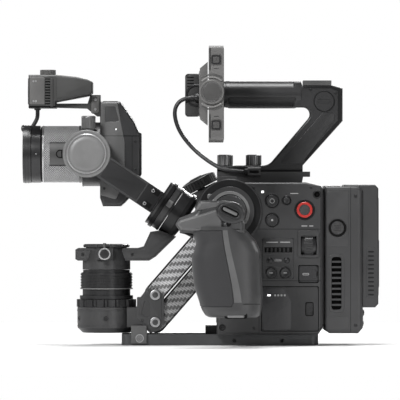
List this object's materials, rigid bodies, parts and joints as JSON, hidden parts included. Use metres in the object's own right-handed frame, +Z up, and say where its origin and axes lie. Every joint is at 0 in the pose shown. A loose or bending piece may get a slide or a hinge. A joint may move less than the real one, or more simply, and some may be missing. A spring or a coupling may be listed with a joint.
{
  "type": "cinema camera rig",
  "caption": "Cinema camera body with side grips, top handle, edge-on monitor and rear battery, and a stabilised lens head on a parallelogram arm in front.",
  "frame": {"origin": "centre of the tripod thread in the underside of the base plate", "axes": "+X from the lens towards the battery, +Y from the operator's side (controls) towards the far side, +Z up"},
  "size_m": [0.332, 0.293, 0.2765],
  "materials": {
    "plate": "fine bead-blasted, anodised grey",
    "saddle": "bead-blasted light grey",
    "body_shell": "fine moulded grain, charcoal",
    "door_plastic": "fine moulded grain, blue-grey",
    "rear_plastic": "fine moulded grain",
    "battery_plastic": "fine moulded grain",
    "frame_metal": "machined",
    "board": "solder mask",
    "handle_metal": "satin black",
    "shoe_steel": "brushed",
    "monitor_case": "satin warm grey",
    "screen_glass": "gloss black glass panel",
    "key_plastic": "soft touch",
    "record_key": "red ring",
    "rubber": "soft, fine grain",
    "grip_plastic": "fine moulded grain",
    "carbon": "carbon-fibre twill under clear lacquer",
    "pin_steel": "turned and polished",
    "gimbal_metal": "satin dark grey",
    "motor_metal": "satin light grey",
    "knob_metal": "knurled",
    "head_metal": "satin dark grey",
    "lens_metal": "diamond knurled, anodised",
    "lens_black": "satin black",
    "glass": "coated optical glass",
    "sensor_metal": "satin mid grey",
    "cable_rubber": "satin jacket",
    "fan_plastic": "moulded"
  },
  "bodies": {
    "camera_body": {"base_plate": "plate", "dovetail_rail": "plate", "parking_saddle": "saddle", "chassis": "frame_metal", "main_board": "board", "left_shell": "body_shell", "right_shell": "body_shell", "top_mount_plate": "gimbal_metal", "control_panel": "door_plastic", "grip_rosettes": "frame_metal", "body_fasteners": "pin_steel", "rear_housing": "rear_plastic", "top_handle": "handle_metal", "accessory_shoe": "shoe_steel", "monitor_mount": "gimbal_metal", "monitor_cable": "cable_rubber"},
    "monitor": {"monitor_housing": "monitor_case", "monitor_screen": "screen_glass"},
    "upper_link": {"upper_link": "carbon"},
    "lower_link": {"lower_link": "carbon"},
    "pan_base": {"pan_base": "gimbal_metal", "front_link_pins": "pin_steel", "pan_motor": "gimbal_metal"},
    "pan_arm": {"pan_arm": "gimbal_metal", "roll_motor": "gimbal_metal"},
    "roll_arm": {"roll_arm": "gimbal_metal", "tilt_motor": "motor_metal"},
    "camera_head": {"camera_head": "head_metal", "lens_barrel": "lens_metal", "lens_hood": "lens_black", "lens_glass": "glass", "rangefinder": "sensor_metal"},
    "left_grip": {"left_grip": "grip_plastic", "left_grip_rubber": "rubber"},
    "right_grip": {"right_grip": "grip_plastic", "right_grip_rubber": "rubber"},
    "power_button": {"power_button": "key_plastic"},
    "mode_button": {"mode_button": "key_plastic"},
    "lock_button": {"lock_button": "key_plastic"},
    "record_button": {"record_button": "record_key"},
    "multi_wheel": {"multi_wheel": "key_plastic"},
    "front_key": {"front_key": "key_plastic"},
    "rear_key": {"rear_key": "key_plastic"},
    "media_door": {"media_door": "door_plastic"},
    "door_latch": {"door_latch": "key_plastic"},
    "usb_cover": {"usb_cover": "rubber"},
    "front_thumbscrew": {"front_thumbscrew": "knob_metal"},
    "rear_thumbscrew": {"rear_thumbscrew": "knob_metal"},
    "cooling_fan": {"cooling_fan": "fan_plastic"},
    "battery_release": {"battery_release": "key_plastic"},
    "battery": {"battery": "battery_plastic"},
    "monitor_key_upper": {"monitor_key_upper": "key_plastic"},
    "monitor_key_lower": {"monitor_key_lower": "key_plastic"},
    "lock_ring": {"lock_ring": "gimbal_metal"},
    "pan_lock_knob": {"pan_lock_knob": "knob_metal"},
    "tilt_lock_knob": {"tilt_lock_knob": "knob_metal"},
    "focus_ring": {"focus_ring": "lens_black"},
    "rangefinder_knob": {"rangefinder_knob": "knob_metal"},
    "right_focus_wheel": {"right_focus_wheel": "knob_metal"},
    "grip_lock_screws": {"grip_lock_screws": "knob_metal"}
  },
  "joints": [
    {"name": "arm_lift", "type": "hinge", "parent": "camera_body", "child": "upper_link", "pos_m": [-0.017, 0, 0.1186], "axis": [0, 1, 0], "range_deg": [0, 75]},
    {"name": "lower_link_swing", "type": "hinge", "parent": "camera_body", "child": "lower_link", "pos_m": [-0.017, 0, 0.093], "axis": [0, 1, 0], "range_deg": [0, 75]},
    {"name": "arm_level", "type": "hinge", "parent": "upper_link", "child": "pan_base", "pos_m": [-0.0795, 0, 0.0467], "axis": [0, 1, 0], "range_deg": [-75, 0]},
    {"name": "lock_ring_turn", "type": "hinge", "parent": "pan_base", "child": "lock_ring", "pos_m": [-0.1255, 0, 0.038], "axis": [0, 0, 1], "range_deg": [0, 40]},
    {"name": "pan", "type": "hinge", "parent": "pan_base", "child": "pan_arm", "pos_m": [-0.1255, 0, 0.07], "axis": [0, 0, 1], "range_deg": [-110, 110]},
    {"name": "pan_lock_turn", "type": "hinge", "parent": "pan_arm", "child": "pan_lock_knob", "pos_m": [-0.1268, -0.025, 0.0851], "axis": [0, 1, 0], "range_deg": [0, 90]},
    {"name": "roll", "type": "hinge", "parent": "pan_arm", "child": "roll_arm", "pos_m": [-0.143, 0, 0.1785], "axis": [0.832, 0, -0.5548], "range_deg": [-35, 35]},
    {"name": "tilt", "type": "hinge", "parent": "roll_arm", "child": "camera_head", "pos_m": [-0.143, 0, 0.1785], "axis": [0, 1, 0], "range_deg": [-45, 60]},
    {"name": "tilt_lock_turn", "type": "hinge", "parent": "roll_arm", "child": "tilt_lock_knob", "pos_m": [-0.1414, -0.0495, 0.202], "axis": [0, 0, 1], "range_deg": [0, 90]},
    {"name": "focus_turn", "type": "hinge", "parent": "camera_head", "child": "focus_ring", "pos_m": [-0.191, 0, 0.1785], "axis": [1, 0, 0], "range_deg": [0, 120]},
    {"name": "rangefinder_knob_turn", "type": "hinge", "parent": "camera_head", "child": "rangefinder_knob", "pos_m": [-0.1805, 0, 0.253], "axis": [0, 0, 1], "continuous": true},
    {"name": "monitor_tilt", "type": "hinge", "parent": "camera_body", "child": "monitor", "pos_m": [-0.0268, -0.0165, 0.2342], "axis": [0, 1, 0], "range_deg": [-60, 15]},
    {"name": "monitor_key_upper_press", "type": "slide", "parent": "monitor", "child": "monitor_key_upper", "axis": [0, 1, 0], "range_m": [0, 0.001], "stiffness_N_per_m": 300, "springref_m": -0.001},
    {"name": "monitor_key_lower_press", "type": "slide", "parent": "monitor", "child": "monitor_key_lower", "axis": [0, 1, 0], "range_m": [0, 0.001], "stiffness_N_per_m": 300, "springref_m": -0.001},
    {"name": "left_grip_angle", "type": "hinge", "parent": "camera_body", "child": "left_grip", "pos_m": [-0.01, -0.053, 0.125], "axis": [0, 1, 0], "range_deg": [-30, 30]},
    {"name": "right_grip_angle", "type": "hinge", "parent": "camera_body", "child": "right_grip", "pos_m": [-0.01, 0.053, 0.125], "axis": [0, 1, 0], "range_deg": [-30, 30]},
    {"name": "grip_lock_turn", "type": "hinge", "parent": "camera_body", "child": "grip_lock_screws", "pos_m": [-0.01, 0, 0.125], "axis": [0, 1, 0], "range_deg": [0, 180]},
    {"name": "focus_wheel_turn", "type": "hinge", "parent": "right_grip", "child": "right_focus_wheel", "pos_m": [-0.027, 0.12, 0.128], "axis": [-0.4586, 0, 0.8886], "continuous": true},
    {"name": "power_button_press", "type": "slide", "parent": "camera_body", "child": "power_button", "axis": [0, 1, 0], "range_m": [0, 0.0011], "stiffness_N_per_m": 300, "springref_m": -0.001},
    {"name": "mode_button_press", "type": "slide", "parent": "camera_body", "child": "mode_button", "axis": [0, 1, 0], "range_m": [0, 0.0011], "stiffness_N_per_m": 300, "springref_m": -0.001},
    {"name": "lock_button_press", "type": "slide", "parent": "camera_body", "child": "lock_button", "axis": [0, 1, 0], "range_m": [0, 0.0011], "stiffness_N_per_m": 300, "springref_m": -0.001},
    {"name": "record_button_press", "type": "slide", "parent": "camera_body", "child": "record_button", "axis": [0, 1, 0], "range_m": [0, 0.0011], "stiffness_N_per_m": 300, "springref_m": -0.001},
    {"name": "front_key_press", "type": "slide", "parent": "camera_body", "child": "front_key", "axis": [0, 1, 0], "range_m": [0, 0.0011], "stiffness_N_per_m": 300, "springref_m": -0.001},
    {"name": "rear_key_press", "type": "slide", "parent": "camera_body", "child": "rear_key", "axis": [0, 1, 0], "range_m": [0, 0.0011], "stiffness_N_per_m": 300, "springref_m": -0.001},
    {"name": "battery_release_press", "type": "slide", "parent": "camera_body", "child": "battery_release", "axis": [0, 1, 0], "range_m": [0, 0.0011], "stiffness_N_per_m": 300, "springref_m": -0.001},
    {"name": "multi_wheel_turn", "type": "hinge", "parent": "camera_body", "child": "multi_wheel", "pos_m": [0.0637, -0.041, 0.093], "axis": [1, 0, 0], "continuous": true},
    {"name": "media_door_open", "type": "hinge", "parent": "camera_body", "child": "media_door", "pos_m": [0.046, -0.0452, 0.0148], "axis": [1, 0, 0], "range_deg": [0, 90]},
    {"name": "door_latch_slide", "type": "slide", "parent": "media_door", "child": "door_latch", "axis": [0, 0, -1], "range_m": [0, 0.0028], "stiffness_N_per_m": 200, "springref_m": -0.001},
    {"name": "usb_cover_open", "type": "hinge", "parent": "camera_body", "child": "usb_cover", "pos_m": [0.0558, -0.0452, 0.0665], "axis": [0, 0, 1], "range_deg": [-100, 0]},
    {"name": "battery_slide", "type": "slide", "parent": "camera_body", "child": "battery", "axis": [0, 0, 1], "range_m": [0, 0.025]},
    {"name": "fan_spin", "type": "hinge", "parent": "camera_body", "child": "cooling_fan", "pos_m": [0.085, 0, 0.058], "axis": [1, 0, 0], "continuous": true},
    {"name": "front_thumbscrew_turn", "type": "hinge", "parent": "camera_body", "child": "front_thumbscrew", "pos_m": [-0.014, 0, 0.17], "axis": [0, 0, 1], "continuous": true},
    {"name": "rear_thumbscrew_turn", "type": "hinge", "parent": "camera_body", "child": "rear_thumbscrew", "pos_m": [0.0128, 0, 0.17], "axis": [0, 0, 1], "continuous": true}
  ],
  "couplings": [
    {"joint": "lower_link_swing", "follows": "arm_lift", "ratio": 1},
    {"joint": "arm_level", "follows": "arm_lift", "ratio": -1}
  ]
}
